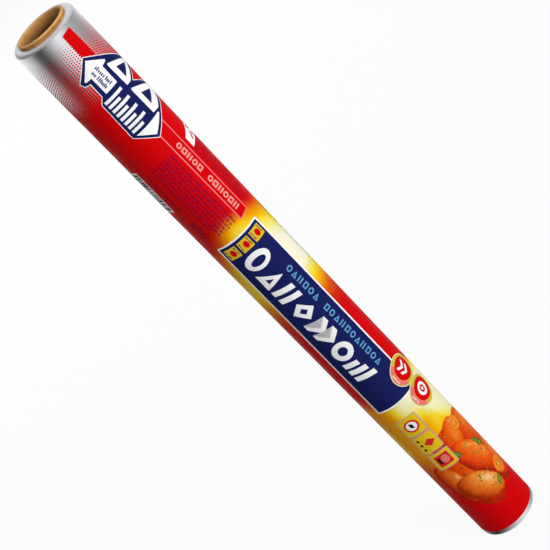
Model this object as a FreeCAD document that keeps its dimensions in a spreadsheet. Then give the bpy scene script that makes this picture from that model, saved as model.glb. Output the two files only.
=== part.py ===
import FreeCAD, Part
import os
import Sketcher

# A roll of household aluminium foil, standing on its end: a spiral-wound cardboard tube, the foil
# wound on it, and a printed label sheet wrapped round the foil and glued to itself at a lap.
# Millimetres. The origin is the middle of the tube's lower end and +Z runs up the roll's axis.
# The label's lap is at the back, on +Y.

os.makedirs("parts", exist_ok=True)
doc = FreeCAD.newDocument("aluminium_foil_roll")

# Driving sizes
SIZES = (
    ("core_bore", 29.0, "inside diameter of the cardboard tube"),
    ("core_wall", 1.6, "wall of the cardboard tube"),
    ("core_proud", 1.5, "how far the tube stands out of the foil at each end"),
    ("core_edge", 0.25, "rounding of the tube's cut edges"),
    ("foil_width", 440.0, "width of the foil, from one face of the roll to the other"),
    ("foil_depth", 4.4, "wound thickness of the foil, from the tube to the outermost turn"),
    ("foil_edge", 2.6, "rounding of the outermost turns at each face"),
    ("winding_gap", 0.02, "clearance between the tube and the first turn"),
    ("band_depth", 0.6, "radial thickness of turns that lie level with each other"),
    ("band_wander", 0.12, "how far every other band lies back from the face"),
    ("label_gap", 0.02, "clearance between the outermost turn and the label"),
    ("label_sheet", 0.12, "thickness of the label"),
    ("label_lap", 10.0, "width of the glued lap, measured round the roll"),
    ("label_ramp", 0.8, "length over which the lap climbs on to the edge below it"),
    ("top_margin", 2.8, "bare foil between the upper face and the label"),
    ("foot_margin", 5.0, "bare foil between the lower face and the label"),
)
sizes = doc.addObject("Spreadsheet::Sheet", "sizes")
for row, (alias, value, note) in enumerate(SIZES, start=1):
    sizes.set(f"A{row}", note)
    sizes.set(f"B{row}", str(value))
    sizes.setAlias(f"B{row}", alias)
doc.recompute()

# Radii that follow from them
CORE_OUTER = "(sizes.core_bore / 2 + sizes.core_wall)"
FOIL_INNER = f"({CORE_OUTER} + sizes.winding_gap)"
FOIL_OUTER = f"({FOIL_INNER} + sizes.foil_depth)"
LABEL_INNER = f"({FOIL_OUTER} + sizes.label_gap)"
LABEL_OUTER = f"({LABEL_INNER} + sizes.label_sheet)"
LAP_OUTER = f"({LABEL_OUTER} + sizes.label_sheet)"


def amount(expression):
    """The number that an expression gives with the sheet's present sizes."""
    return float(sizes.evalExpression(expression))


def new_body(label, height="0"):
    """A body for one sub-part, lifted to its height above the tube's lower end."""
    body = doc.addObject("PartDesign::Body", label)
    body.Label = label
    body.setExpression("Placement.Base.z", height)
    return body


def new_sketch(body, plane, name):
    """A sketch on one of the body's own origin planes."""
    sketch = body.newObject("Sketcher::SketchObject", name)
    support = next(item for item in body.Origin.OriginFeatures if item.Role == plane)
    sketch.AttachmentSupport = [(support, "")]
    sketch.MapMode = "FlatFace"
    return sketch


def bind(sketch, kind, *places, to):
    """Adds one dimension to a sketch and ties it to an expression."""
    index = sketch.addConstraint(Sketcher.Constraint(kind, *places, amount(to)))
    sketch.setExpression(f"Constraints[{index}]", to)


def add_circle(sketch, radius):
    """A circle about the sketch's origin."""
    circle = Part.Circle(FreeCAD.Vector(0, 0, 0), FreeCAD.Vector(0, 0, 1), amount(radius))
    index = sketch.addGeometry(circle, False)
    sketch.addConstraint(Sketcher.Constraint("Coincident", index, 3, -1, 1))
    bind(sketch, "Radius", index, to=radius)


def add_outline(sketch, corners):
    """A closed run of straight lines through corners, each given as expressions for x and y."""
    points = [FreeCAD.Vector(amount(x), amount(y), 0) for x, y in corners]
    ends = points[1:] + points[:1]
    lines = [sketch.addGeometry(Part.LineSegment(a, b), False) for a, b in zip(points, ends)]
    for line, following in zip(lines, lines[1:] + lines[:1]):
        sketch.addConstraint(Sketcher.Constraint("Coincident", line, 2, following, 1))
    for line, (x, y) in zip(lines, corners):
        bind(sketch, "DistanceX", -1, 1, line, 1, to=x)
        bind(sketch, "DistanceY", -1, 1, line, 1, to=y)


def pad(body, sketch, name, length):
    """A sketch drawn out upwards to a length."""
    feature = body.newObject("PartDesign::Pad", name)
    feature.Profile = sketch
    feature.setExpression("Length", length)
    return feature


def round_edges(body, feature, name, wanted, radius):
    """Rounds those edges of a feature for which wanted(edge) is true."""
    doc.recompute()
    names = [f"Edge{i}" for i, edge in enumerate(feature.Shape.Edges, start=1) if wanted(edge)]
    fillet = body.newObject("PartDesign::Fillet", name)
    fillet.Base = (feature, names)
    fillet.setExpression("Radius", radius)
    return fillet


# The core is a tube of spiral-wound card, cut square at both ends, with its cut edges worn round.
def make_core_tube():
    body = new_body("core_tube")
    section = new_sketch(body, "XY_Plane", "tube_section")
    add_circle(section, "sizes.core_bore / 2")
    add_circle(section, CORE_OUTER)
    tube = pad(body, section, "tube", "sizes.foil_width + 2 * sizes.core_proud")

    def is_cut_edge(edge):
        return isinstance(edge.Curve, Part.Circle)

    round_edges(body, tube, "cut_edges", is_cut_edge, "sizes.core_edge")
    return body


# The wound foil is one solid, turned from a half section. Its turns don't lie quite level, so at
# each face every other band of them stands a little back. The outermost band doesn't: it takes up
# what is left of the depth, and its edge is rounded.
def make_foil_roll():
    body = new_body("foil_roll", "sizes.core_proud")
    section = new_sketch(body, "XZ_Plane", "foil_half_section")
    bands = max(1, int(amount("(sizes.foil_depth - sizes.foil_edge) / sizes.band_depth")))
    lower, upper = [], []
    for band in range(bands):
        inner = f"{FOIL_INNER} + {band} * sizes.band_depth"
        outer = f"{FOIL_INNER} + {band + 1} * sizes.band_depth" if band < bands - 1 else FOIL_OUTER
        back = f"{(bands - 1 - band) % 2} * sizes.band_wander"
        lower += [(inner, back), (outer, back)]
        upper += [(inner, f"sizes.foil_width - {back}"), (outer, f"sizes.foil_width - {back}")]
    add_outline(section, lower + upper[::-1])
    turns = body.newObject("PartDesign::Revolution", "turns")
    turns.Profile = section
    turns.ReferenceAxis = (section, ["V_Axis"])
    turns.Angle = 360
    rim, same = amount(FOIL_OUTER), 1e-4

    def is_outer_edge(edge):
        return isinstance(edge.Curve, Part.Circle) and abs(edge.Curve.Radius - rim) < same

    round_edges(body, turns, "outer_edges", is_outer_edge, "sizes.foil_edge")
    return body


# The label is a thin sheet wrapped once round the foil. Its free end lies over its first end and
# is glued there, so the lap is two sheets thick, with a step at one side and a ramp at the other.
def make_label_sleeve():
    body = new_body("label_sleeve", "sizes.core_proud + sizes.foot_margin")
    section = new_sketch(body, "XY_Plane", "label_section")
    add_circle(section, LABEL_INNER)
    lap_half = f"(0.5rad * sizes.label_lap / {LAP_OUTER})"
    step_x = f"sin({lap_half})"
    ramp_x = f"sin({lap_half} - 1rad * sizes.label_ramp / {LAP_OUTER})"
    sheet_radius, lap_radius = amount(LABEL_OUTER), amount(LAP_OUTER)

    def on_circle(radius, sideways):
        return FreeCAD.Vector(radius * sideways, radius * (1 - sideways**2) ** 0.5, 0)

    step_foot = on_circle(sheet_radius, amount(step_x))
    step_top = on_circle(lap_radius, amount(step_x))
    ramp_top = on_circle(lap_radius, -amount(ramp_x))
    ramp_foot = on_circle(sheet_radius, -amount(step_x))
    far_side = FreeCAD.Vector(0, -sheet_radius, 0)
    lap_middle = FreeCAD.Vector(0, lap_radius, 0)
    around = section.addGeometry(Part.Arc(ramp_foot, far_side, step_foot), False)
    step = section.addGeometry(Part.LineSegment(step_foot, step_top), False)
    lap = section.addGeometry(Part.Arc(step_top, lap_middle, ramp_top), False)
    ramp = section.addGeometry(Part.LineSegment(ramp_top, ramp_foot), False)
    joined = (
        (around, 3, -1, 1),
        (lap, 3, -1, 1),
        (around, 1, ramp, 2),
        (around, 2, step, 1),
        (lap, 1, step, 2),
        (lap, 2, ramp, 1),
    )
    for ends in joined:
        section.addConstraint(Sketcher.Constraint("Coincident", *ends))
    bind(section, "Radius", around, to=LABEL_OUTER)
    bind(section, "Radius", lap, to=LAP_OUTER)
    bind(section, "DistanceX", -1, 1, step, 1, to=f"{LABEL_OUTER} * {step_x}")
    bind(section, "DistanceX", -1, 1, step, 2, to=f"{LAP_OUTER} * {step_x}")
    bind(section, "DistanceX", ramp, 1, -1, 1, to=f"{LAP_OUTER} * {ramp_x}")
    bind(section, "DistanceX", ramp, 2, -1, 1, to=f"{LABEL_OUTER} * {step_x}")
    pad(body, section, "label_sheet_wrap", "sizes.foil_width - sizes.top_margin - sizes.foot_margin")
    return body


nodes = [make_core_tube(), make_foil_roll(), make_label_sleeve()]
doc.recompute()

for item in doc.Objects:
    if "Invalid" in item.State or "Error" in item.State:
        raise RuntimeError(f"{item.Name} did not rebuild: {item.State}")
    if item.TypeId == "Sketcher::SketchObject" and not item.FullyConstrained:
        raise RuntimeError(f"{item.Name} isn't fully constrained")
for node in nodes:
    shape = node.Shape
    if shape.isNull() or not shape.isValid() or len(shape.Solids) != 1:
        raise RuntimeError(f"{node.Label} isn't one valid solid")
for node in nodes:
    node.Shape.exportStep(f"parts/{node.Label}.step")
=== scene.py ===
import math
import random

import bmesh
import bpy
from mathutils import Matrix


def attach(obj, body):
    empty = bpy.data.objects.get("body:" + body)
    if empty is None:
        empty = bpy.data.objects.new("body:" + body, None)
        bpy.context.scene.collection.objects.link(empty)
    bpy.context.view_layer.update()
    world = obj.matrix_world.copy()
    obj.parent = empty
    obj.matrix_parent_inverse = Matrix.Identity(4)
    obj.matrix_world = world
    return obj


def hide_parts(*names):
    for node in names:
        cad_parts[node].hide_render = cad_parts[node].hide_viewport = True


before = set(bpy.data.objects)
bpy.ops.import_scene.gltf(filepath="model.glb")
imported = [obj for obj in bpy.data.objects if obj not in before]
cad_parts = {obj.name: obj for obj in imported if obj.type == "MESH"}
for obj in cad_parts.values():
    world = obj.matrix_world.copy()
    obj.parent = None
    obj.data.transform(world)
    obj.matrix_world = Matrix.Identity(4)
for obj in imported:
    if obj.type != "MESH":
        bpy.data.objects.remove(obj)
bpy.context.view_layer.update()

# Cardboard core
# A tube wound from strips of brown card, glued in a spiral and cut square at both ends, with its
# edges worn a little round. The foil is wound on it, and it stands out 1.5 mm at each end.
MM = 0.001
ROUND_FACETS = 128
CORE_INSIDE = 14.5
CORE_OUTSIDE = 16.1
CORE_LENGTH = 443.0
CORE_EDGE = 0.25
CARD_STRIP_RISE = 74.0
CARD_PLY = 0.32
LINING_SHADE_DEPTH = 8.0


def finished_mesh(name, shape):
    """Turns a bmesh into a smooth mesh that keeps its sharp edges."""
    mesh = bpy.data.meshes.new(name)
    shape.to_mesh(mesh)
    shape.free()
    mesh.shade_smooth()
    mesh.set_sharp_from_angle(angle=math.radians(35))
    return mesh


def turned_mesh(name, outline):
    """A ring turned round the roll's axis from a closed outline of (radius, height) in mm."""
    shape = bmesh.new()
    rings = []
    for facet in range(ROUND_FACETS):
        turn = 2 * math.pi * facet / ROUND_FACETS
        east = math.sin(turn) * MM
        north = -math.cos(turn) * MM
        rings.append([shape.verts.new((r * east, r * north, h * MM)) for r, h in outline])
    for ring, following in zip(rings, rings[1:] + rings[:1]):
        for at in range(len(outline)):
            shape.faces.new((ring[at - 1], ring[at], following[at], following[at - 1]))
    bmesh.ops.recalc_face_normals(shape, faces=shape.faces[:])
    return finished_mesh(name, shape)


def corner(radius, height, towards_axis, towards_top):
    """Four points round a tube's worn edge."""
    points = []
    for part in range(4):
        swing = math.radians(30 * part)
        across = CORE_EDGE * (1 - math.sin(swing)) * towards_axis
        along = CORE_EDGE * (1 - math.cos(swing)) * towards_top
        points.append((radius - across, height - along))
    return points


def place(tree, kind, inputs=None, **settings):
    """A node with its settings; each input is a number, a colour or another node's output."""
    node = tree.nodes.new("ShaderNode" + kind)
    for name, value in settings.items():
        setattr(node, name, value)
    for socket, value in (inputs or {}).items():
        if isinstance(value, bpy.types.NodeSocket):
            tree.links.new(value, node.inputs[socket])
        else:
            node.inputs[socket].default_value = value
    return node


def work_out(tree, operation, *values):
    """The answer of a Math node."""
    return place(tree, "Math", dict(enumerate(values)), operation=operation).outputs[0]


def rise(tree, value, start, end, low=0.0, high=1.0):
    """A smooth climb from low to high while the value goes from start to end."""
    inputs = {0: value, 1: start, 2: end, 3: low, 4: high}
    return place(tree, "MapRange", inputs, interpolation_type="SMOOTHSTEP").outputs[0]


def mixed(tree, share, first, second):
    """Two colours mixed."""
    return place(tree, "Mix", {0: share, 6: first, 7: second}, data_type="RGBA").outputs[2]


def graded(tree, value, *stops):
    """A colour ramp with (position, colour) stops."""
    node = place(tree, "ValToRGB", {0: value})
    elements = node.color_ramp.elements
    for _ in range(len(stops) - 2):
        elements.new(0.5)
    for element, (position, colour) in zip(elements, stops):
        element.position = position
        element.color = colour
    return node.outputs[0]


def screen(red, green, blue):
    """A colour given in screen values of 0 to 255."""
    shares = [value / 255 for value in (red, green, blue)]
    linear = [s / 12.92 if s <= 0.04045 else ((s + 0.055) / 1.055) ** 2.4 for s in shares]
    return (*linear, 1.0)


def new_material(name):
    """A material with its node tree and its Principled shader."""
    material = bpy.data.materials.new(name)
    material.use_nodes = True
    return material, material.node_tree, material.node_tree.nodes["Principled BSDF"]


def set_shader(tree, shader, **inputs):
    """Sets a shader's sockets by name, with underscores for spaces."""
    for name, value in inputs.items():
        socket = shader.inputs[name.replace("_", " ")]
        if isinstance(value, bpy.types.NodeSocket):
            tree.links.new(value, socket)
        else:
            socket.default_value = value


def new_piece(name, mesh, materials, slot, *nodes):
    """A piece of the roll with its materials, riding on the roll."""
    piece = bpy.data.objects.new(name, mesh)
    bpy.context.scene.collection.objects.link(piece)
    for material in materials:
        mesh.materials.append(material)
    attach(piece, "root")
    if nodes:
        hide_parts(*nodes)


core_outline = (
    corner(CORE_OUTSIDE, CORE_LENGTH, 1, 1)
    + corner(CORE_OUTSIDE, 0, 1, -1)[::-1]
    + corner(CORE_INSIDE, 0, -1, -1)
    + corner(CORE_INSIDE, CORE_LENGTH, -1, 1)[::-1]
)

card, tree, shader = new_material("core_card")
spot = place(tree, "TexCoord").outputs["Object"]
axes = place(tree, "SeparateXYZ", {0: spot})
sideways, depthways, upward = axes.outputs
turn = work_out(tree, "ARCTAN2", sideways, work_out(tree, "MULTIPLY", depthways, -1.0))
turns = work_out(tree, "DIVIDE", turn, 2 * math.pi)
climb = work_out(tree, "DIVIDE", upward, CARD_STRIP_RISE * MM)
strip = work_out(tree, "FRACT", work_out(tree, "SUBTRACT", climb, turns))
seam = rise(tree, work_out(tree, "ABSOLUTE", work_out(tree, "SUBTRACT", strip, 0.5)), 0.008, 0.002)
fibres = place(tree, "TexNoise", {"Vector": spot, "Scale": 1400.0, "Detail": 5.0}).outputs[0]
blotches = place(tree, "TexNoise", {"Vector": spot, "Scale": 120.0, "Detail": 3.0}).outputs[0]
tone = work_out(tree, "MULTIPLY_ADD", fibres, 0.55, work_out(tree, "MULTIPLY", blotches, 0.45))
outer_wall = graded(
    tree, tone, (0.3, screen(134, 82, 30)), (0.5, screen(180, 120, 54)), (0.7, screen(204, 148, 78))
)
# Inside the tube the card is painted pale near each end and darker further in, over the first 8 mm from
# each end: painted shade inside the tube.
pale = graded(
    tree, tone, (0.3, screen(186, 124, 60)), (0.5, screen(220, 156, 86)), (0.7, screen(238, 184, 116))
)
painted_shade_inside = graded(tree, tone, (0.3, screen(86, 50, 22)), (0.7, screen(124, 80, 40)))
from_top = work_out(tree, "SUBTRACT", CORE_LENGTH * MM, upward)
from_end = work_out(tree, "MINIMUM", upward, from_top)
lining_with_painted_shade = mixed(tree, rise(tree, from_end, 0.0, LINING_SHADE_DEPTH * MM), pale, painted_shade_inside)
flat = place(tree, "CombineXYZ", {0: sideways, 1: depthways}).outputs[0]
radius = place(tree, "VectorMath", {0: flat}, operation="LENGTH").outputs["Value"]
within = rise(tree, radius, (CORE_OUTSIDE - 0.5) * MM, (CORE_INSIDE + 0.5) * MM)
wall = mixed(tree, within, outer_wall, lining_with_painted_shade)
ply = work_out(tree, "SINE", work_out(tree, "MULTIPLY", radius, 2 * math.pi / (CARD_PLY * MM)))
cut = graded(
    tree,
    work_out(tree, "MULTIPLY_ADD", ply, 0.16, tone),
    (0.28, screen(186, 130, 70)),
    (0.5, screen(234, 180, 110)),
    (0.75, screen(248, 206, 142)),
)
facing = place(tree, "SeparateXYZ", {0: place(tree, "NewGeometry").outputs["Normal"]}).outputs[2]
cut_end = rise(tree, work_out(tree, "ABSOLUTE", facing), 0.5, 0.9)
worn = rise(tree, from_end, 1.1 * MM, 0.3 * MM, 0.0, 0.85)
brown = mixed(tree, work_out(tree, "MAXIMUM", cut_end, worn), wall, cut)
brown = mixed(tree, work_out(tree, "MULTIPLY", seam, 0.3), brown, screen(92, 58, 28))
relief = work_out(tree, "SUBTRACT", tone, work_out(tree, "MULTIPLY", seam, 0.8))
bump = place(tree, "Bump", {"Strength": 0.5, "Distance": 0.00012, "Height": relief})
set_shader(
    tree,
    shader,
    Base_Color=brown,
    Roughness=rise(tree, tone, 0.3, 0.7, 0.78, 0.92),
    Normal=bump.outputs[0],
    Specular_IOR_Level=0.2,
)
new_piece("card_core", turned_mesh("card_core", core_outline), [card], "core_card", "core_tube")

# Wound foil
# Some hundreds of turns of bright aluminium foil, wound tight on the core. The edges of the turns
# make the grey end faces, which aren't quite level or square, and the outer turns curl in.
FOIL_INSIDE = 16.12
FOIL_OUTSIDE = 20.52
FOIL_LOW = 1.5
FOIL_HIGH = 441.5
FOIL_CURL = 2.6
FOIL_BAND = 0.6
FOIL_BAND_BACK = 0.12
FOIL_SLANT = 1.4
TURN_RIPPLE = 0.03
foil_dice = random.Random(7)


def end_profile():
    """Radius and depth behind the end face of the turns' edges, from the tube to the side."""
    points = []
    for step in range(23):
        reach = (FOIL_OUTSIDE - FOIL_CURL - FOIL_INSIDE) * step / 22
        back = int(reach / FOIL_BAND) % 2 * FOIL_BAND_BACK
        points.append((FOIL_INSIDE + reach, back + foil_dice.uniform(0, TURN_RIPPLE)))
    for step in range(1, 31):
        swing = math.radians(3 * step)
        radius = FOIL_CURL - foil_dice.uniform(0, TURN_RIPPLE) * math.cos(swing)
        across = FOIL_OUTSIDE - FOIL_CURL + radius * math.sin(swing)
        points.append((across, FOIL_CURL - radius * math.cos(swing)))
    return points


foil_outline = [(radius, FOIL_HIGH - back) for radius, back in end_profile()]
foil_outline += [(radius, FOIL_LOW + back) for radius, back in end_profile()[::-1]]
foil_mesh = turned_mesh("wound_foil", foil_outline)
for vertex in foil_mesh.vertices:
    over_curl = vertex.co.z / MM - (FOIL_HIGH - FOIL_CURL)
    if over_curl > 0:
        slant_share = min(1.0, over_curl / FOIL_CURL)
        vertex.co.z += FOIL_SLANT * slant_share * vertex.co.y / FOIL_OUTSIDE

foil, tree, shader = new_material("foil")
spot = place(tree, "TexCoord").outputs["Object"]
axes = place(tree, "SeparateXYZ", {0: spot})
flat = place(tree, "CombineXYZ", {0: axes.outputs[0], 1: axes.outputs[1]}).outputs[0]
radius = place(tree, "VectorMath", {0: flat}, operation="LENGTH").outputs["Value"]
facing = place(tree, "SeparateXYZ", {0: place(tree, "NewGeometry").outputs["Normal"]}).outputs[2]
end_face = rise(tree, work_out(tree, "ABSOLUTE", facing), 0.02, 0.6)
along = work_out(tree, "MULTIPLY", axes.outputs[2], 2600.0)
across = work_out(tree, "MULTIPLY", radius, 9000.0)
lines_at = place(tree, "Mix", {0: end_face, 2: along, 3: across}).outputs[0]
lines = place(
    tree, "TexNoise", {"W": lines_at, "Scale": 1.0, "Detail": 3.0}, noise_dimensions="1D"
).outputs[0]
crinkle = place(tree, "TexNoise", {"Vector": spot, "Scale": 160.0, "Detail": 4.0}).outputs[0]
bright = graded(
    tree, lines, (0.3, screen(176, 178, 182)), (0.5, screen(226, 227, 229)), (0.7, screen(244, 244, 244))
)
edge_on = graded(
    tree, lines, (0.32, screen(186, 187, 190)), (0.5, screen(234, 234, 236)), (0.66, screen(248, 248, 249))
)
line_depth = place(tree, "Mix", {0: end_face, 2: 0.1, 3: 0.7}).outputs[0]
line_relief = work_out(tree, "MULTIPLY", lines, line_depth)
relief = work_out(tree, "MULTIPLY_ADD", crinkle, 0.4, line_relief)
bump = place(tree, "Bump", {"Strength": 0.35, "Distance": 0.0001, "Height": relief})
smooth_side = rise(tree, crinkle, 0.3, 0.7, 0.2, 0.3)
set_shader(
    tree,
    shader,
    Base_Color=mixed(tree, end_face, bright, edge_on),
    Metallic=1.0,
    Roughness=place(tree, "Mix", {0: end_face, 2: smooth_side, 3: 0.46}).outputs[0],
    Normal=bump.outputs[0],
)
new_piece("wound_foil", foil_mesh, [foil], "foil", "foil_roll")

# Label sheet
# A sheet of thin metallised film wrapped once round the foil and glued to itself at a lap at the
# back. It is silver at the top and printed solid red below that, with two warm glows.
LABEL_INSIDE = 20.54
LABEL_OUTSIDE = 20.58
LABEL_LAP_OUTSIDE = 20.70
LABEL_TOP = 438.7
LABEL_FOOT = 6.5
ARC_RADIUS = 20.65
FACET = 2 * math.pi * ARC_RADIUS / ROUND_FACETS
LAP_EDGE = 59.92
LAP_STEP_TOP = 59.93
LAP_RAMP_TOP = 60.72


def round_the_roll(radius, arc, height):
    """The point at an arc length from the front line, positive towards +X, and a height, in mm."""
    turn = arc / ARC_RADIUS
    return (radius * math.sin(turn) * MM, -radius * math.cos(turn) * MM, height * MM)


def label_section():
    """Arc and outer radius of the sheet all the way round, from one side of the lap to the other."""
    arcs = [FACET * count for count in range(-ROUND_FACETS // 2, ROUND_FACETS // 2)]
    points = [(arc, LABEL_LAP_OUTSIDE) for arc in arcs if arc < -LAP_RAMP_TOP]
    points += [(-LAP_RAMP_TOP, LABEL_LAP_OUTSIDE), (-LAP_EDGE, LABEL_OUTSIDE)]
    points += [(arc, LABEL_OUTSIDE) for arc in arcs if abs(arc) < LAP_EDGE]
    points += [(LAP_EDGE, LABEL_OUTSIDE), (LAP_STEP_TOP, LABEL_LAP_OUTSIDE)]
    points += [(arc, LABEL_LAP_OUTSIDE) for arc in arcs if arc > LAP_STEP_TOP]
    return points


shape = bmesh.new()
loops = []
for outer, height in ((True, LABEL_TOP), (True, LABEL_FOOT), (False, LABEL_FOOT), (False, LABEL_TOP)):
    loop = []
    for arc, reach in label_section():
        loop.append(shape.verts.new(round_the_roll(reach if outer else LABEL_INSIDE, arc, height)))
    loops.append(loop)
for loop, following in zip(loops, loops[1:] + loops[:1]):
    for at in range(len(loop)):
        shape.faces.new((loop[at - 1], loop[at], following[at], following[at - 1]))
bmesh.ops.recalc_face_normals(shape, faces=shape.faces[:])
label_mesh = finished_mesh("label_sheet", shape)

grain = bpy.data.node_groups.new("print_grain", "ShaderNodeTree")
for name, kind, way in (
    ("Ink", "NodeSocketColor", "INPUT"),
    ("Mottle", "NodeSocketFloat", "INPUT"),
    ("Color", "NodeSocketColor", "OUTPUT"),
    ("Roughness", "NodeSocketFloat", "OUTPUT"),
    ("Normal", "NodeSocketVector", "OUTPUT"),
):
    grain.interface.new_socket(name, in_out=way, socket_type=kind)
given = grain.nodes.new("NodeGroupInput")
result = grain.nodes.new("NodeGroupOutput")
spot = place(grain, "TexCoord").outputs["Object"]
specks = place(grain, "TexNoise", {"Vector": spot, "Scale": 1500.0, "Detail": 3.0}).outputs[0]
clouds = place(grain, "TexNoise", {"Vector": spot, "Scale": 90.0, "Detail": 3.0}).outputs[0]
ripples = place(grain, "TexNoise", {"Vector": spot, "Scale": 45.0, "Detail": 2.0}).outputs[0]
density = work_out(grain, "MULTIPLY_ADD", specks, 0.5, work_out(grain, "MULTIPLY", clouds, 0.5))
thin = rise(grain, density, 0.35, 0.65)
share = work_out(grain, "MULTIPLY", thin, given.outputs["Mottle"])
darker = mixed(grain, 0.35, given.outputs["Ink"], (0.0, 0.0, 0.0, 1.0))
grain.links.new(mixed(grain, share, given.outputs["Ink"], darker), result.inputs["Color"])
grain.links.new(rise(grain, clouds, 0.3, 0.7, 0.36, 0.5), result.inputs["Roughness"])
relief = work_out(grain, "MULTIPLY_ADD", ripples, 1.0, work_out(grain, "MULTIPLY", specks, 0.05))
bump = place(grain, "Bump", {"Strength": 0.25, "Distance": 0.0004, "Height": relief})
grain.links.new(bump.outputs[0], result.inputs["Normal"])


def grained(tree, ink, mottle):
    """The shared print grain, laid over an ink colour."""
    node = tree.nodes.new("ShaderNodeGroup")
    node.node_tree = grain
    node.inputs["Mottle"].default_value = mottle
    if isinstance(ink, bpy.types.NodeSocket):
        tree.links.new(ink, node.inputs["Ink"])
    else:
        node.inputs["Ink"].default_value = ink
    return node


RED = screen(216, 2, 8)
INK_SPECULAR = 0.02
EDGE_OF_RED = 50.0
EDGE_LEAN = 4.0
FIRST_GLOW_FROM = 142.0
FIRST_GLOW_TO = 239.0
SECOND_GLOW_FALL = 314.0
SECOND_GLOW_TO = 396.0


def limited(tree, value):
    """A value held between 0 and 1."""
    return place(tree, "Clamp", {0: value}).outputs[0]


label, tree, shader = new_material("label_film")
spot = place(tree, "TexCoord").outputs["Object"]
axes = place(tree, "SeparateXYZ", {0: spot})
down = work_out(tree, "SUBTRACT", FOIL_HIGH, work_out(tree, "MULTIPLY", axes.outputs[2], 1 / MM))
turn = work_out(tree, "ARCTAN2", axes.outputs[0], work_out(tree, "MULTIPLY", axes.outputs[1], -1.0))
side = work_out(tree, "SINE", turn)
squared = work_out(tree, "MULTIPLY", side, side)
wisps = place(tree, "TexNoise", {"Vector": spot, "Scale": 75.0, "Detail": 4.0}).outputs[0]
flicker = work_out(tree, "MULTIPLY", work_out(tree, "SUBTRACT", wisps, 0.5), 9.0)
along = work_out(tree, "ADD", down, flicker)

# The first glow starts sharply in a bowed line, palest there, and fades away down the roll.
bow = work_out(tree, "MULTIPLY", squared, work_out(tree, "MULTIPLY_ADD", side, -5.0, 10.5))
past = work_out(tree, "SUBTRACT", work_out(tree, "SUBTRACT", along, FIRST_GLOW_FROM), bow)
share = work_out(tree, "DIVIDE", past, work_out(tree, "MULTIPLY_ADD", squared, 22.0, 20.0))
short_of = work_out(tree, "SUBTRACT", 1.0, limited(tree, share))
onset = work_out(tree, "SUBTRACT", 1.0, work_out(tree, "POWER", short_of, 1.5))
short_of = work_out(tree, "SUBTRACT", FIRST_GLOW_TO, along)
fading = work_out(tree, "POWER", limited(tree, work_out(tree, "DIVIDE", short_of, 38.0)), 1.3)
peak = work_out(tree, "MULTIPLY_ADD", side, 0.2, 0.84)
first = work_out(tree, "MULTIPLY", work_out(tree, "MULTIPLY", onset, fading), peak)

# The second is pale on the right and the front, orange on the left, with a long weak tail and a
# soft yellow patch at the far left.
to_right = work_out(tree, "MAXIMUM", work_out(tree, "SUBTRACT", side, 0.19), 0.0)
fall_from = work_out(tree, "MULTIPLY_ADD", to_right, 35.0, SECOND_GLOW_FALL)
fall = work_out(tree, "DIVIDE", work_out(tree, "SUBTRACT", along, fall_from), 42.0)
paleness = rise(tree, side, -0.85, -0.05, 0.4, 0.95)
pale_part = work_out(tree, "MULTIPLY", rise(tree, fall, 1.0, 0.0), paleness)
tail = work_out(tree, "DIVIDE", work_out(tree, "SUBTRACT", SECOND_GLOW_TO, along), 84.0)
tail = work_out(tree, "MINIMUM", tail, rise(tree, side, -0.1, 0.5, 0.48, 0.7))
second = work_out(tree, "MAXIMUM", pale_part, limited(tree, tail))
second = work_out(tree, "MULTIPLY", second, rise(tree, along, 291.0, 312.0))
low_side = work_out(tree, "MULTIPLY", rise(tree, side, -0.6, -0.98), rise(tree, along, 400.0, 340.0))
low_side = work_out(tree, "MULTIPLY", low_side, rise(tree, along, 292.0, 340.0, 0.0, 0.66))
glow = work_out(tree, "MAXIMUM", first, work_out(tree, "MAXIMUM", second, low_side))
ground = graded(
    tree,
    glow,
    (0.0, RED),
    (0.15, screen(216, 45, 10)),
    (0.3, screen(224, 92, 8)),
    (0.45, screen(240, 148, 8)),
    (0.6, screen(248, 194, 12)),
    (0.72, screen(249, 222, 60)),
    (0.84, screen(246, 236, 132)),
    (1.0, screen(253, 248, 222)),
)
past_edge = work_out(tree, "SUBTRACT", work_out(tree, "MULTIPLY_ADD", side, EDGE_LEAN, down), EDGE_OF_RED)
inked = rise(tree, past_edge, -2.0, 1.0)
silver = screen(236, 238, 242)
node = grained(tree, mixed(tree, inked, silver, ground), 0.12)
set_shader(
    tree,
    shader,
    Base_Color=node.outputs["Color"],
    Metallic=work_out(tree, "SUBTRACT", 1.0, inked),
    Roughness=place(tree, "Mix", {0: inked, 2: 0.23, 3: node.outputs["Roughness"]}).outputs[0],
    Normal=node.outputs["Normal"],
    Specular_IOR_Level=INK_SPECULAR,
)
new_piece("label_sheet", label_mesh, [label], "label", "label_sleeve")

# Halftone dots
# Small red dots printed on the silver end of the label. They grow and close up down the roll,
# until they run together into the solid red, sooner on the right side than on the left.
DOT_PITCH = 1.5
DOTS_START = 7.0
PRINT_LIFT = 0.015
inks = {}


def set_print_shader(tree, shader, node):
    """Gives a printed colour its grain and its dull sheen."""
    set_shader(
        tree,
        shader,
        Base_Color=node.outputs["Color"],
        Roughness=node.outputs["Roughness"],
        Normal=node.outputs["Normal"],
        Specular_IOR_Level=INK_SPECULAR,
    )


def ink(name, colour, mottle=0.12):
    """A printing ink of one colour on the label film."""
    material, tree, shader = new_material("ink_" + name)
    set_print_shader(tree, shader, grained(tree, colour, mottle))
    inks[name] = material


def on_label(down, arc, layer):
    """A printed point on the flat of its facet, so that layers of ink stay parallel."""
    half = FACET / ARC_RADIUS / 2
    turn = arc / ARC_RADIUS
    middle = (math.floor(turn / (2 * half) + 1e-6) + 0.5) * 2 * half
    sheet = LABEL_LAP_OUTSIDE if abs(arc) > LAP_EDGE else LABEL_OUTSIDE
    reach = sheet + PRINT_LIFT * (layer + 1)
    flat_reach = reach * math.cos(half) / math.cos(turn - middle)
    return round_the_roll(flat_reach, arc, FOIL_HIGH - down)


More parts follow.
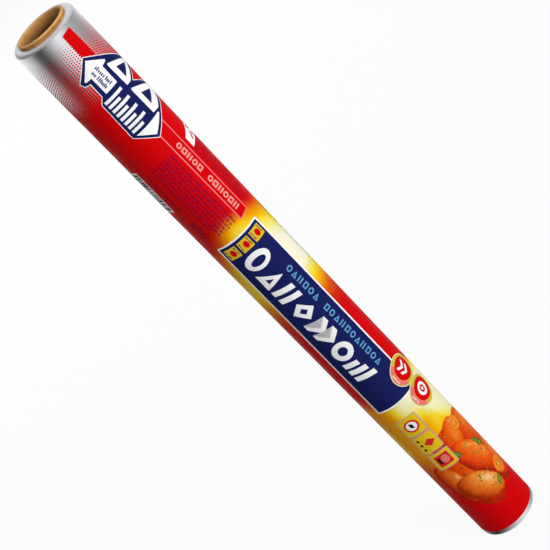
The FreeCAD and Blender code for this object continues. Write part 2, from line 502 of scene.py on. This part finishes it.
def printed_mesh(name, shape):
    """A mesh of bent print whose normals stand square to the roll, so it shades as the label does."""
    mesh = bpy.data.meshes.new(name)
    shape.to_mesh(mesh)
    shape.free()
    mesh.shade_smooth()
    normals = []
    for vertex in mesh.vertices:
        length = math.hypot(vertex.co.x, vertex.co.y)
        normals.append((vertex.co.x / length, vertex.co.y / length, 0.0))
    mesh.normals_split_custom_set_from_vertices(normals)
    return mesh


def face_up(shape):
    """Turns every face of flat print to the same side."""
    shape.normal_update()
    for face in shape.faces:
        if face.normal.z < 0:
            face.normal_flip()


def cut_at_facets(shape):
    """Cuts flat print along the lines between the label's facets, so that it can bend there."""
    arcs = [vertex.co.y for vertex in shape.verts]
    for line in range(math.ceil(min(arcs) / FACET), math.floor(max(arcs) / FACET) + 1):
        everything = shape.verts[:] + shape.edges[:] + shape.faces[:]
        bmesh.ops.bisect_plane(
            shape, geom=everything, dist=1e-5, plane_co=(0, line * FACET, 0), plane_no=(0, 1, 0)
        )


def add_print(name, shapes, cut=True):
    """Prints flat shapes, each (ink, layer, outline, hole or nothing) with points (down, arc)."""
    shape = bmesh.new()
    used = []
    for colour, layer, outline, *hole in shapes:
        if colour not in used:
            used.append(colour)
        rim = [shape.verts.new((down, arc, layer)) for down, arc in outline]
        if hole:
            inner = [shape.verts.new((down, arc, layer)) for down, arc in hole[0]]
            sides = range(len(rim))
            faces = [(rim[at - 1], rim[at], inner[at], inner[at - 1]) for at in sides]
        else:
            faces = [rim]
        for corners in faces:
            shape.faces.new(corners).material_index = used.index(colour)
    bmesh.ops.triangulate(shape, faces=shape.faces[:])
    face_up(shape)
    if cut:
        cut_at_facets(shape)
    for vertex in shape.verts:
        vertex.co = on_label(*vertex.co)
    new_piece(name, printed_mesh(name, shape), [inks[colour] for colour in used], "label")


def oval(down, arc, half_length, half_width, sides):
    """An ellipse."""
    swings = [2 * math.pi * side / sides for side in range(sides)]
    return [(down + half_length * math.cos(s), arc + half_width * math.sin(s)) for s in swings]


ink("red", RED)
dots = []
rows = round(2 * math.pi * ARC_RADIUS / DOT_PITCH / 2) * 2
spacing = 2 * math.pi * ARC_RADIUS / rows
for row in range(rows):
    arc = (row - rows / 2) * spacing
    edge = EDGE_OF_RED - EDGE_LEAN * math.sin(arc / ARC_RADIUS)
    count = int((edge - DOTS_START) / DOT_PITCH) + 2
    for column in range(count):
        down = DOTS_START + (column + 0.5 * (row % 2)) * DOT_PITCH
        share = min(1.0, (down - DOTS_START) / (edge - DOTS_START))
        cover = 1 - (1 - share) ** 1.15
        if cover > 0.04:
            size = DOT_PITCH * (0.56 * math.sqrt(cover) + 0.08 * cover**6)
            dots.append(("red", 0.8, oval(down, arc, size, size, 12)))
add_print("halftone_dots", dots, cut=False)

# Length badge
# A printed double-headed arrow in navy, edged with a white hairline, on a short red bar. White
# heads, two peaks and a row of ruler marks fill it, with two rows of small print in one head.
WORD_GAP = 0.75
ink("white", screen(250, 250, 250), 0.05)
ink("navy", screen(24, 32, 92))


def grown(outline, margin):
    """An outline moved outwards by a margin, or inwards where that is negative."""
    count = len(outline)
    area = 0.0
    for i in range(count):
        (x0, y0), (x1, y1) = outline[i - 1], outline[i]
        area += x0 * y1 - x1 * y0
    out = 1 if area > 0 else -1
    lines = []
    for i in range(count):
        (x0, y0), (x1, y1) = outline[i - 1], outline[i]
        length = math.hypot(x1 - x0, y1 - y0)
        nx, ny = out * (y1 - y0) / length, -out * (x1 - x0) / length
        lines.append((nx, ny, nx * x0 + ny * y0 + margin))
    moved = []
    for i in range(count):
        a0, b0, c0 = lines[i]
        a1, b1, c1 = lines[(i + 1) % count]
        scale = a0 * b1 - a1 * b0
        moved.append(((c0 * b1 - c1 * b0) / scale, (a0 * c1 - a1 * c0) / scale))
    return moved


def box(down_from, down_to, arc_from, arc_to, slope=0.0):
    """A rectangle, or a box that leans over down the roll by a slope."""
    shift = slope * (arc_to - arc_from)
    return [
        (down_from, arc_from),
        (down_to, arc_from),
        (down_to + shift, arc_to),
        (down_from + shift, arc_to),
    ]


def small_print(rows, seed, height, stroke, gap):
    """Rows of fine upright strokes in short groups; each row is (start, end, middle)."""
    dice = random.Random(seed)
    strokes = []
    for start, end, middle in rows:
        low = middle - height / 2
        down = start
        left = dice.randint(3, 11)
        while down < end:
            tall = height * dice.choice((0.65, 0.7, 0.7, 1.0))
            strokes.append(box(down, down + stroke, low, low + tall))
            down += stroke + gap * dice.choice((0.6, 1.0, 1.4))
            left -= 1
            if left == 0:
                down += WORD_GAP
                left = dice.randint(3, 11)
    return strokes


badge = [
    (21.3, 4.9),
    (31.0, -6.0),
    (33.6, -4.9),
    (34.3, -1.7),
    (43.9, -1.9),
    (47.4, -5.2),
    (72.7, -5.7),
    (82.7, 5.4),
    (74.4, 18.4),
    (70.2, 28.6),
    (68.4, 31.4),
    (60.9, 31.4),
    (51.4, 18.2),
    (45.9, 29.6),
    (44.4, 31.4),
    (41.2, 31.4),
]
left_head = [
    (23.3, 4.8),
    (31.5, -3.5),
    (32.3, -2.9),
    (32.5, 0.6),
    (44.2, 0.6),
    (44.2, 9.6),
    (32.4, 9.8),
    (32.0, 13.2),
    (31.2, 14.0),
]
right_head = [(72.9, -3.3), (80.6, 5.4), (74.2, 15.9), (73.2, 15.4)]
first_peak = [(33.7, 13.1), (42.0, 29.9), (43.9, 29.9), (50.4, 17.0), (50.0, 12.9), (34.4, 12.5)]
second_peak = [(52.9, 13.5), (61.6, 29.9), (67.6, 29.9), (72.4, 18.4), (71.4, 12.9), (53.6, 12.7)]
badge_print = [
    ("red", 0, [(4.8, 11.8), (26.5, 11.8), (22.6, 4.8), (5.5, 4.8)]),
    ("white", 2, grown(badge, 0.4)),
    ("navy", 3, badge),
    ("white", 4, left_head),
    ("white", 4, right_head),
    ("white", 4, first_peak),
    ("white", 4, second_peak),
    ("navy", 5, [(39.0, 16.4), (47.0, 16.4), (42.9, 25.8)]),
    ("navy", 5, [(59.0, 16.4), (67.6, 16.4), (63.6, 26.0)]),
]
for mark in range(8):
    start = 47.1 + 3.15 * mark
    badge_print.append(("white", 4, box(start, start + 1.9, -3.7, 4.6 if mark % 2 else 9.0)))
add_print("length_badge", badge_print)
ink("slate", screen(56, 62, 112))
arrow_rows = [(29.8, 42.0, 6.6), (30.4, 42.0, 3.4)]
arrow_print = [("slate", 5, stroke) for stroke in small_print(arrow_rows, 3, 2.4, 0.8, 0.36)]
add_print("badge_small_print", arrow_print)

# Outlined strip
# A red strip with a pale outline, printed from the badge to the first glow, with a row of small
# pale marks along its middle.
ink("pink", screen(242, 120, 124))
ink("pale_pink", screen(242, 156, 150))
MARK_LOW = 8.2
MARK_HIGH = 11.8
strip = [(74.0, 5.5), (151.9, 6.0), (150.6, 14.2), (72.0, 14.2)]
strip_print = [("pink", 0, strip), ("red", 1, grown(strip, -0.7))]
start = 93.0
for mark in range(12):
    if mark != 5:
        middle = (start + 1.9, (MARK_LOW + MARK_HIGH) / 2)
        if mark % 3 == 0:
            hole = oval(*middle, 0.9, 0.85, 28)
            strip_print.append(("pale_pink", 2, oval(*middle, 1.9, 1.8, 28), hole))
        elif mark % 3 == 1:
            outline = box(start + 0.1, start + 3.7, MARK_LOW, MARK_HIGH)
            strip_print.append(("pale_pink", 2, outline, grown(outline, -1.0)))
        else:
            for bar in (start + 0.2, start + 2.4):
                strip_print.append(("pale_pink", 2, box(bar, bar + 1.2, MARK_LOW, MARK_HIGH)))
    start += 4.45
add_print("outlined_strip", strip_print)

# Fine print
# Blocks of very small print in dark red and plum on the red ground, in rows down the roll. It is
# too small to read, so it is groups of fine strokes.
ink("plum", screen(128, 10, 58))
ink("crimson", screen(158, 14, 38))
ink("umber", screen(84, 20, 40))
plum_rows = [(94.5, 150.0 - 6.0 * (row == 6), 2.7 - 2.35 * row) for row in range(7)]
crimson_rows = [(103.5 - 0.4 * row, 147.0 - 1.5 * row, 17.2 + 2.2 * row) for row in range(5)]
umber_rows = [(97.0, 125.0, -16.9), (134.5, 148.5, -15.6)]
umber_rows += [(135.0, 149.0, -17.4), (136.0, 148.0, -19.2)]
edge_rows = [(157.0, 211.0, 27.4)]
fine_print = [("plum", 0, stroke) for stroke in small_print(plum_rows, 11, 1.7, 0.42, 0.18)]
fine_print += [("crimson", 0, stroke) for stroke in small_print(crimson_rows, 12, 1.8, 0.46, 0.18)]
fine_print += [("umber", 0, stroke) for stroke in small_print(umber_rows, 13, 1.4, 0.4, 0.18)]
fine_print += [("umber", 0, stroke) for stroke in small_print(edge_rows, 14, 1.7, 0.6, 0.36)]
add_print("fine_print", fine_print)

# Corner patch and bar code
# A small white patch with grey and red bits at the upper side, and a white patch with bars of
# several widths at the lower side.
BAR_UNIT = 0.33
ink("grey", screen(120, 122, 150))
ink("black", screen(22, 22, 24))
patch = [(91.6, 29.6), (95.8, 17.1), (103.0, 17.1), (101.0, 29.6)]
patch_print = [
    ("white", 0, patch),
    ("grey", 1, oval(94.8, 27.3, 1.2, 1.4, 20)),
    ("grey", 1, oval(99.4, 26.6, 0.9, 1.2, 20)),
    ("red", 1, [(96.4, 24.8), (100.2, 21.0), (101.0, 22.2), (97.6, 25.6)]),
]
bar_dice = random.Random(5)
patch_print.append(("white", 0, box(92.0, 124.5, -47.0, -21.9)))
down = 93.6
while down < 122.4:
    width = BAR_UNIT * bar_dice.choice((1, 1, 2, 3, 4))
    patch_print.append(("black", 1, box(down, down + width, -45.6, -22.9)))
    down += width + BAR_UNIT * bar_dice.choice((1, 1, 2, 3))
add_print("corner_patch_and_bars", patch_print)

# Navy panel
# The large navy panel on the front, with a white edge. It carries three small yellow tiles, a row
# of bold white figures and a row of small light blue ones.
TALL = 1.6
WAIST = -5.0
LOW = -11.6
FIGURE_LEAN = 0.22
ink("tile_yellow", screen(228, 190, 44))
ink("sky", screen(98, 160, 206))


def rounded_box(down_from, down_to, arc_from, arc_to, corner_size):
    """A rectangle with rounded corners."""
    points = []
    corners = (
        (down_to - corner_size, arc_to - corner_size, 0),
        (down_from + corner_size, arc_to - corner_size, 90),
        (down_from + corner_size, arc_from + corner_size, 180),
        (down_to - corner_size, arc_from + corner_size, 270),
    )
    for down, arc, start in corners:
        for part in range(7):
            swing = math.radians(start + 15 * part)
            points.append((down + corner_size * math.cos(swing), arc + corner_size * math.sin(swing)))
    return points


def leaning(outline):
    """An outline that leans over down the roll."""
    return [(down + FIGURE_LEAN * (arc - LOW), arc) for down, arc in outline]


panel_print = [
    ("white", 0, rounded_box(157.4, 310.9, -18.0, 14.0, 1.6)),
    ("navy", 1, rounded_box(158.5, 309.8, -16.9, 12.9, 1.0)),
]
for middle in (7.5, -2.0, -11.5):
    panel_print.append(("tile_yellow", 2, rounded_box(160.5, 168.4, middle - 4.0, middle + 4.0, 0.5)))
    panel_print.append(("red", 3, oval(164.6, middle + 0.4, 2.5, 1.7, 24)))
    for offset in (-2.9, 3.0):
        row = [(161.3, 166.6, middle + offset)]
        for stroke in small_print(row, int(middle * 2 + offset * 7), 1.2, 0.5, 0.3):
            panel_print.append(("navy", 3, stroke))
bold = [
    (oval(177.0, -3.2, 6.0, 8.4, 48), oval(177.6, -3.2, 2.7, 5.0, 48)),
    (
        leaning([(184.5, LOW), (197.0, LOW), (191.0, TALL)]),
        leaning([(189.2, -8.4), (192.9, -8.4), (191.0, -4.2)]),
    ),
    (
        leaning([(213.0, WAIST), (219.8, LOW), (226.6, WAIST), (219.8, TALL)]),
        leaning([(217.2, WAIST), (219.8, -7.5), (222.4, WAIST), (219.8, -2.5)]),
    ),
    (oval(258.4, WAIST, 6.8, 6.7, 48), oval(258.4, WAIST, 3.2, 3.1, 48)),
]
for start, top in ((199.0, TALL), (205.6, TALL), (266.4, -2.4), (272.2, -0.4), (278.0, TALL)):
    bold.append((leaning(box(start, start + 3.8, LOW, top)),))
for start in (229.2, 238.0):
    chevron = [(start, LOW), (start + 4.2, LOW), (start + 10.4, WAIST)]
    chevron += [(start + 4.2, TALL), (start, TALL), (start + 6.2, WAIST)]
    bold.append((leaning(chevron),))
for loops in bold:
    panel_print.append(("white", 2, *loops))
for mark in range(18):
    start = 193.2 + 5.0 * mark
    middle = (start + 1.8, 6.7)
    if mark == 6:
        continue
    if mark % 4 == 0:
        panel_print.append(("sky", 2, oval(*middle, 1.9, 2.1, 24), oval(*middle, 1.0, 1.2, 24)))
    elif mark % 4 == 1:
        outline = [(start, 4.6), (start + 3.8, 4.6), (start + 1.9, 8.8)]
        panel_print.append(("sky", 2, outline, grown(outline, -0.75)))
    elif mark % 4 == 2:
        panel_print.append(("sky", 2, box(start + 0.1, start + 1.1, 4.6, 8.8)))
        panel_print.append(("sky", 2, box(start + 2.3, start + 3.3, 4.6, 8.8)))
    else:
        outline = box(start + 0.1, start + 3.5, 4.7, 8.7)
        panel_print.append(("sky", 2, outline, grown(outline, -0.85)))
add_print("navy_panel", panel_print)

# Round badges
# Two round badges at the panel's lower corner, gold with a pale edge, each with a red disc, a
# pink band below it and a bold white figure.
ink("gold", screen(208, 192, 50))
ink("pale_edge", screen(236, 234, 196))
ink("rose", screen(238, 118, 112))
for number, (down, arc) in enumerate(((298.4, 14.4), (318.2, 14.6))):
    layer = 2 + 0.5 * number
    badge_print = [
        ("pale_edge", layer, oval(down, arc, 10.4, 10.4, 64)),
        ("gold", layer + 0.25, oval(down, arc, 9.9, 9.9, 64)),
    ]
    rim = [math.radians(205 + 5 * part) for part in range(27)]
    band = [(down + 9.5 * math.cos(s), arc + 9.5 * math.sin(s)) for s in rim]
    band += [(down + 6.5 * math.cos(s), arc + 6.5 * math.sin(s)) for s in rim[::-1]]
    badge_print.append(("rose", layer + 0.5, band))
    badge_print.append(("red", layer + 0.75, oval(down, arc + 1.2, 7.7, 7.4, 48)))
    figure_layer = layer + 1.1
    figure_middle = arc + 1.2
    if number:
        middle = (down, figure_middle)
        ring = ("white", figure_layer, oval(*middle, 4.6, 4.2, 36), oval(*middle, 2.7, 2.3, 36))
        badge_print.append(ring)
        badge_print.append(("white", figure_layer, oval(*middle, 1.1, 1.0, 20)))
    else:
        for start in (down - 4.6, down - 0.4):
            chevron = [(start, figure_middle - 3.8), (start + 2.0, figure_middle - 3.8)]
            chevron += [(start + 4.6, figure_middle), (start + 2.0, figure_middle + 3.8)]
            chevron += [(start, figure_middle + 3.8), (start + 2.6, figure_middle)]
            badge_print.append(("white", figure_layer, chevron))
    for stroke in small_print([(down - 3.6, down + 3.2, arc - 7.8)], number, 1.3, 0.5, 0.4):
        badge_print.append(("white", figure_layer, stroke))
    add_print("round_badge_%d" % (number + 1), badge_print)

# Picture of roast vegetables
# A printed picture below the second glow: golden roast potatoes, slices of carrot, herb leaves
# and peppercorns, laid over one another with light on their upper side.
THING_RINGS = 7
THING_SPOKES = 36
picture_dice = random.Random(21)


def food_ink(name, *stops):
    """A picture ink whose colour follows the light that falls on the thing shown."""
    material, tree, shader = new_material("picture_" + name)
    light = place(tree, "Attribute", attribute_name="light").outputs["Fac"]
    spot = place(tree, "TexCoord").outputs["Object"]
    skin = place(tree, "TexNoise", {"Vector": spot, "Scale": 420.0, "Detail": 4.0}).outputs[0]
    patches = place(tree, "TexNoise", {"Vector": spot, "Scale": 150.0, "Detail": 2.0}).outputs[0]
    value = work_out(tree, "MULTIPLY_ADD", skin, 0.3, light)
    value = work_out(tree, "MULTIPLY_ADD", patches, 0.35, value)
    value = work_out(tree, "SUBTRACT", value, 0.32)
    set_print_shader(tree, shader, grained(tree, graded(tree, value, *stops), 0.1))
    inks[name] = material


food_ink(
    "roast",
    (0.0, screen(168, 30, 8)),
    (0.25, screen(220, 56, 8)),
    (0.6, screen(236, 88, 12)),
    (0.85, screen(242, 128, 38)),
    (1.0, screen(252, 216, 160)),
)
food_ink(
    "golden",
    (0.0, screen(164, 44, 8)),
    (0.25, screen(216, 84, 14)),
    (0.6, screen(236, 118, 28)),
    (0.85, screen(245, 164, 76)),
    (1.0, screen(253, 232, 190)),
)
food_ink(
    "carrot",
    (0.0, screen(170, 44, 6)),
    (0.35, screen(228, 96, 14)),
    (0.7, screen(244, 150, 48)),
    (1.0, screen(252, 206, 120)),
)
food_ink(
    "herb",
    (0.0, screen(38, 62, 12)),
    (0.5, screen(92, 124, 26)),
    (1.0, screen(168, 184, 70)),
)
food_ink(
    "pepper",
    (0.0, screen(44, 12, 8)),
    (0.6, screen(96, 40, 22)),
    (1.0, screen(190, 140, 110)),
)


def light_on(form, share, angle, ahead, above):
    """How bright a thing in the picture is at a point: a slice has rings and a leaf has a rib."""
    if form == "slice":
        for reach, brightness in ((0.4, 0.72), (0.5, 0.38), (0.9, 0.6), (2.0, 0.2)):
            if share < reach:
                return brightness
    if form == "leaf":
        return 0.85 - 0.7 * share if abs(math.sin(angle)) > 0.2 else 0.9
    rest = math.sqrt(max(0.0, 1 - share**2))
    return max(0.0, -0.25 * ahead + 0.5 * above + 0.6 * rest + 0.06)


def add_food(shape, material_index, down, arc, half_length, half_width, swing, form, layer):
    """One thing in the picture: a patch with a light value at each of its points."""
    light_of = shape.verts.layers.float["light"]
    wobble = [picture_dice.uniform(0, 6.28) for _ in range(2)]
    cosine = math.cos(math.radians(swing))
    sine = math.sin(math.radians(swing))
    grid = []
    for ring in range(THING_RINGS + 1):
        share = ring / THING_RINGS
        row = []
        for spoke in range(THING_SPOKES):
            angle = 2 * math.pi * spoke / THING_SPOKES
            reach = share
            if form == "round":
                bulge = 0.05 * math.sin(2 * angle + wobble[0])
                reach *= 1 + bulge + 0.04 * math.sin(3 * angle + wobble[1])
            p = reach * math.cos(angle)
            q = reach * math.sin(angle)
            if form == "leaf":
                q *= 1 - 0.75 * abs(p) ** 1.5
            x = down + p * half_length * cosine - q * half_width * sine
            y = arc + p * half_length * sine + q * half_width * cosine
            vertex = shape.verts.new((x, y, layer))
            ahead = p * cosine - q * sine
            above = p * sine + q * cosine
            vertex[light_of] = light_on(form, share, angle, ahead, above)
            row.append(vertex)
        grid.append(row)
    for inner, outer in zip(grid, grid[1:]):
        for at in range(THING_SPOKES):
            face = shape.faces.new((inner[at - 1], inner[at], outer[at], outer[at - 1]))
            face.material_index = material_index


picture = bmesh.new()
picture.verts.layers.float.new("light")
kinds = ["roast", "golden", "carrot", "herb", "pepper"]
things = [
    ("roast", 380.0, 3.0, 34.0, 19.0, 0, "round"),
    ("roast", 386.0, -12.5, 19.0, 7.5, 6, "round"),
    ("roast", 365.0, 22.0, 18.5, 12.0, 6, "round"),
    ("roast", 394.0, 22.0, 19.0, 11.0, -12, "round"),
    ("roast", 358.0, 6.5, 14.5, 9.0, -24, "round"),
    ("roast", 379.0, 10.0, 20.0, 9.5, 26, "round"),
    ("golden", 397.0, -1.0, 16.5, 10.5, 38, "round"),
    ("carrot", 399.0, 19.5, 6.6, 6.0, 0, "slice"),
    ("carrot", 352.0, 15.5, 5.4, 5.0, 0, "slice"),
    ("herb", 374.0, 18.5, 5.6, 1.8, 25, "leaf"),
    ("herb", 378.0, 20.5, 4.6, 1.6, 75, "leaf"),
    ("herb", 404.0, 10.5, 5.0, 1.7, -30, "leaf"),
    ("herb", 367.0, 1.5, 4.6, 1.6, 15, "leaf"),
]
for _ in range(14):
    where = picture_dice.uniform(348.0, 406.0)
    things.append(("pepper", where, picture_dice.uniform(-6.0, 24.0), 0.62, 0.55, 0, "round"))
for _ in range(26):
    where = picture_dice.uniform(348.0, 404.0)
    across = picture_dice.uniform(-4.0, 24.0)
    things.append(("herb", where, across, 1.5, 0.5, picture_dice.uniform(0, 180), "leaf"))
for order, (kind, *measures, form) in enumerate(things):
    add_food(picture, kinds.index(kind), *measures, form, min(2.9, 0.12 * order))
bmesh.ops.remove_doubles(picture, verts=picture.verts[:], dist=1e-6)
face_up(picture)
cut_at_facets(picture)
for vertex in picture.verts:
    vertex.co = on_label(*vertex.co)
picture_mesh = printed_mesh("roast_picture", picture)
new_piece("roast_picture", picture_mesh, [inks[kind] for kind in kinds], "label")

# Square tiles
# Three yellow square tiles in a row below the panel, each with a thin rose-grey edge and a
# simple figure.
ink("tile_edge", screen(196, 160, 150))
ink("tile_ground", screen(234, 198, 20))
ink("signal_red", screen(222, 40, 44))
tiles = []
for number, (start, end) in enumerate(((321.8, 337.6), (338.6, 354.6), (356.0, 371.0))):
    middle = (start + end) / 2
    tiles.append(("tile_edge", 3.3, rounded_box(start, end, -14.2, 0.6, 1.6)))
    tiles.append(("tile_ground", 3.8, rounded_box(start + 0.7, end - 0.7, -13.5, -0.1, 1.1)))
    if number == 0:
        tiles.append(("signal_red", 4.3, oval(middle, -6.8, 4.9, 4.9, 36)))
        tiles.append(("white", 4.8, oval(middle, -6.8, 3.5, 3.5, 36)))
        tiles.append(("black", 5.3, box(middle - 2.6, middle + 1.0, -7.9, -5.7, 0.6)))
    elif number == 1:
        diamond = [(middle - 3.2, -5.6), (middle, -9.4), (middle + 3.2, -5.6), (middle, -1.4)]
        tiles.append(("signal_red", 4.3, diamond))
        for offset in (-4.2, 0.0, 4.2):
            tiles.append(("black", 4.3, oval(middle + offset, -11.2, 1.1, 0.9, 20)))
    else:
        outline = rounded_box(middle - 4.9, middle + 4.9, -11.6, -1.7, 0.9)
        tiles.append(("signal_red", 4.3, outline))
        tiles.append(("rose", 4.8, oval(middle, -5.6, 3.4, 2.6, 30)))
        tiles.append(("black", 4.8, box(middle - 2.6, middle + 2.6, -10.4, -8.6)))
add_print("square_tiles", tiles)

# Floor, reflectors, lamps and camera
# A plain white floor and background. Grey cards in a fan on the floor and round the walls glow with fixed
# greys and are seen only in reflections: they paint the bright metal's bands of light and dark, as cards
# would in a studio.
FLOOR_HALF = 12.0
WHITE = (1.0, 1.0, 1.0, 1.0)
AMBIENT = 0.3
KEY_POWER = 22.0
BACK_POWER = 10.0
LAMP_DISTANCE = 1.7
LAMP_SIZE = 1.1
ROLL_MIDDLE = 0.22
CARD_STEPS = 120
CAMERA_LENS = 109.34
CAMERA_SPOT = (0.0, -0.87584, 0.67234)

floor_mesh = bpy.data.meshes.new("floor")
floor_corners = [(a * FLOOR_HALF, b * FLOOR_HALF, 0) for a, b in ((-1, -1), (1, -1), (1, 1), (-1, 1))]
floor_mesh.from_pydata(floor_corners, [], [(0, 1, 2, 3)])
floor = bpy.data.objects.new("floor", floor_mesh)
bpy.context.scene.collection.objects.link(floor)


def seen_share(tree, share):
    """A share for the rays that the camera, gloss and clear things send out, and 0 for others."""
    rays = place(tree, "LightPath").outputs
    seen = work_out(tree, "MAXIMUM", rays["Is Camera Ray"], rays["Is Glossy Ray"])
    seen = work_out(tree, "MAXIMUM", seen, rays["Is Transmission Ray"])
    return work_out(tree, "MULTIPLY", seen, share)


white_floor, tree, shader = new_material("white_floor")
spot = place(tree, "TexCoord").outputs["Object"]
dust = place(tree, "TexNoise", {"Vector": spot, "Scale": 3.0}).outputs[0]
painted = graded(tree, dust, (0.3, screen(198, 198, 198)), (0.7, screen(206, 206, 206)))
rays = place(tree, "LightPath").outputs
set_shader(
    tree,
    shader,
    Base_Color=mixed(tree, rays["Is Camera Ray"], painted, WHITE),
    Roughness=0.9,
    Specular_IOR_Level=0.0,
)
shine = place(tree, "Emission", {"Color": WHITE, "Strength": 1.0})
shown = place(tree, "MixShader", {0: seen_share(tree, 0.92), 1: shader.outputs[0], 2: shine.outputs[0]})
tree.links.new(shown.outputs[0], tree.nodes["Material Output"].inputs["Surface"])
floor_mesh.materials.append(white_floor)


def add_reflection_cards(name, outline, *levels):
    """Glowing grey cards turned round the roll's axis, seen only in reflections; each grey, a painted
    reflection, is given by its share of the way round.
    """
    shape = bmesh.new()
    rings = []
    for reach, height in outline:
        ring = []
        for step in range(CARD_STEPS):
            turned = math.radians(360 * step / CARD_STEPS)
            ring.append(shape.verts.new((reach * math.sin(turned), -reach * math.cos(turned), height)))
        rings.append(ring)
    for inner, outer in zip(rings, rings[1:]):
        for at in range(CARD_STEPS):
            shape.faces.new((inner[at - 1], inner[at], outer[at], outer[at - 1]))
    mesh = bpy.data.meshes.new(name)
    shape.to_mesh(mesh)
    shape.free()
    cards = bpy.data.objects.new(name, mesh)
    bpy.context.scene.collection.objects.link(cards)
    cards.visible_camera = False
    cards.visible_diffuse = False
    cards.visible_transmission = False
    cards.visible_shadow = False
    material, tree, shader = new_material(name)
    axes = place(tree, "SeparateXYZ", {0: place(tree, "TexCoord").outputs["Object"]})
    back = work_out(tree, "MULTIPLY", axes.outputs[1], -1.0)
    turn = work_out(tree, "ARCTAN2", axes.outputs[0], back)
    around = work_out(tree, "MULTIPLY_ADD", turn, 0.5 / math.pi, 0.5)
    # Each card's grey glows as a painted reflection, set by its share of the way round.
    fan = graded(tree, around, *[(at, (level, level, level, 1.0)) for at, level in levels])
    shine = place(tree, "Emission", {"Color": fan, "Strength": 1.0})
    tree.links.new(shine.outputs[0], tree.nodes["Material Output"].inputs["Surface"])
    mesh.materials.append(material)


add_reflection_cards(
    "floor_reflection_cards",
    [(0.0207, 0.0004), (4.0, 0.0004)],
    (0.0, 1.0),
    (0.08, 0.95),
    (0.17, 0.75),
    (0.25, 0.42),
    (0.3, 0.09),
    (0.35, 0.03),
    (0.4, 0.16),
    (0.45, 0.47),
    (0.5, 0.78),
    (0.54, 1.0),
    (0.58, 0.95),
    (0.64, 0.6),
    (0.72, 0.4),
    (0.8, 0.38),
    (0.88, 0.62),
    (0.95, 0.95),
)
add_reflection_cards(
    "wall_reflection_cards",
    [(4.0, 0.0), (4.0, 3.0), (2.5, 4.4), (0.01, 5.0)],
    (0.0, 1.0),
    (0.06, 0.75),
    (0.12, 0.3),
    (0.22, 0.15),
    (0.35, 0.32),
    (0.5, 0.75),
    (0.65, 0.7),
    (0.8, 0.7),
    (0.92, 0.9),
    (1.0, 1.0),
)

world = bpy.data.worlds.new("studio")
bpy.context.scene.world = world
world.use_nodes = True
tree = world.node_tree
background = tree.nodes["Background"]
level = place(tree, "MapRange", {0: seen_share(tree, 1.0), 3: AMBIENT, 4: 1.0}).outputs[0]
background.inputs["Color"].default_value = WHITE
tree.links.new(level, background.inputs["Strength"])


def add_lamp(name, azimuth, elevation, power):
    """A soft square lamp that looks at the roll's middle; azimuth 0 is in front, 90 on +X."""
    lamp = bpy.data.lights.new(name, "AREA")
    lamp.energy = power
    lamp.size = LAMP_SIZE
    piece = bpy.data.objects.new(name, lamp)
    bpy.context.scene.collection.objects.link(piece)
    a = math.radians(azimuth)
    e = math.radians(elevation)
    spin = Matrix.Rotation(a, 4, "Z") @ Matrix.Rotation(math.radians(90) - e, 4, "X")
    reach = LAMP_DISTANCE * math.cos(e)
    height = ROLL_MIDDLE + LAMP_DISTANCE * math.sin(e)
    spot = (reach * math.sin(a), -reach * math.cos(a), height)
    piece.matrix_world = Matrix.Translation(spot) @ spin
    piece.visible_glossy = False


add_lamp("key_lamp", 35, 20, KEY_POWER)
add_lamp("back_lamp", 190, 25, BACK_POWER)

camera = bpy.data.cameras.new("camera")
camera.lens = CAMERA_LENS
camera.sensor_width = 36.0
view = bpy.data.objects.new("camera", camera)
bpy.context.scene.collection.objects.link(view)
right = (0.71814, -0.30641, -0.62480)
up = (0.69589, 0.31902, 0.64340)
behind = (0.00218, -0.89685, 0.44233)
spin = Matrix((right, up, behind)).transposed().to_4x4()
view.matrix_world = Matrix.Translation(CAMERA_SPOT) @ spin
bpy.context.scene.camera = view
bpy.context.scene.view_settings.view_transform = "Standard"
